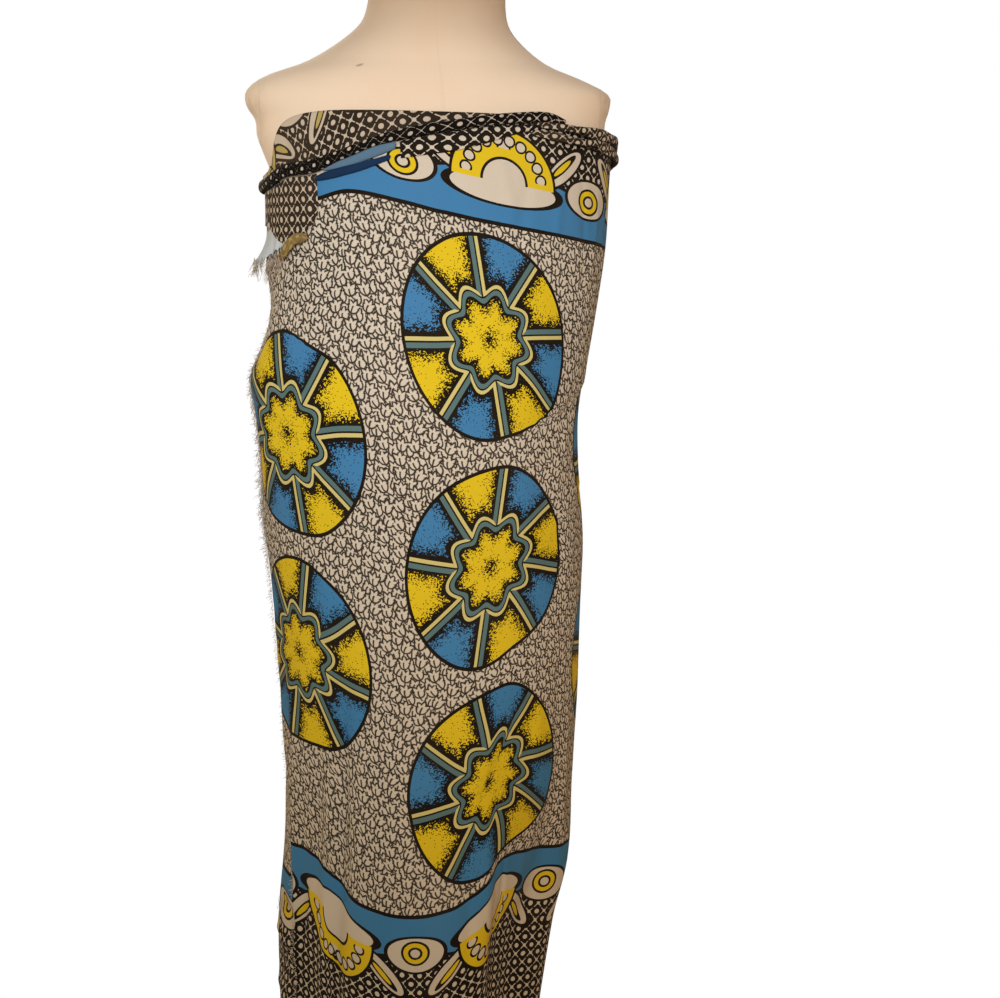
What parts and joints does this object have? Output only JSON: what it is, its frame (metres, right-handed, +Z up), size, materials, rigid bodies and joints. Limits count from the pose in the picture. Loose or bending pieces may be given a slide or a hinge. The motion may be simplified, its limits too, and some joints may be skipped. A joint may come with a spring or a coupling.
{
  "type": "printed wrap cloth on dress form",
  "caption": "Strapless wound cotton wrap with rolled top edge, printed in medallions, leaves and borders, standing on a limbless dress form with a round base.",
  "frame": {"origin": "on the floor under the pole, at the centre of the base's underside", "axes": "+Z up along the pole, -Y towards the front of the wrap, +X to the right as seen from the front"},
  "size_m": [0.406, 0.406, 1.415],
  "materials": {
    "printed_cotton": "plain-weave cotton, screen printed, soft matt",
    "cotton_wrong_side": "wrong side of printed cotton, muted matt",
    "frayed_thread": "loose cotton threads",
    "form_jersey": "stretched fine jersey, matt",
    "cap_wood": "lacquered turned beech, satin",
    "stand_enamel": "black enamel, satin"
  },
  "bodies": {
    "root": {"front_wrap": "printed_cotton", "back_wrap": "printed_cotton", "under_wrap": "printed_cotton", "turned_border": "cotton_wrong_side", "main_roll": "printed_cotton", "roll_band": "printed_cotton", "border_fold_upper": "printed_cotton", "border_fold_lower": "printed_cotton", "rope_upper": "cotton_wrong_side", "rope_lower": "cotton_wrong_side", "turned_corner": "cotton_wrong_side", "corner_tuft": "cotton_wrong_side", "corner_twist": "cotton_wrong_side", "raw_edge_fringe": "frayed_thread", "form_torso": "form_jersey", "neck_cap": "cap_wood", "pole_collar": "stand_enamel", "stand_pole": "stand_enamel", "base_plate": "stand_enamel"}
  },
  "joints": []
}
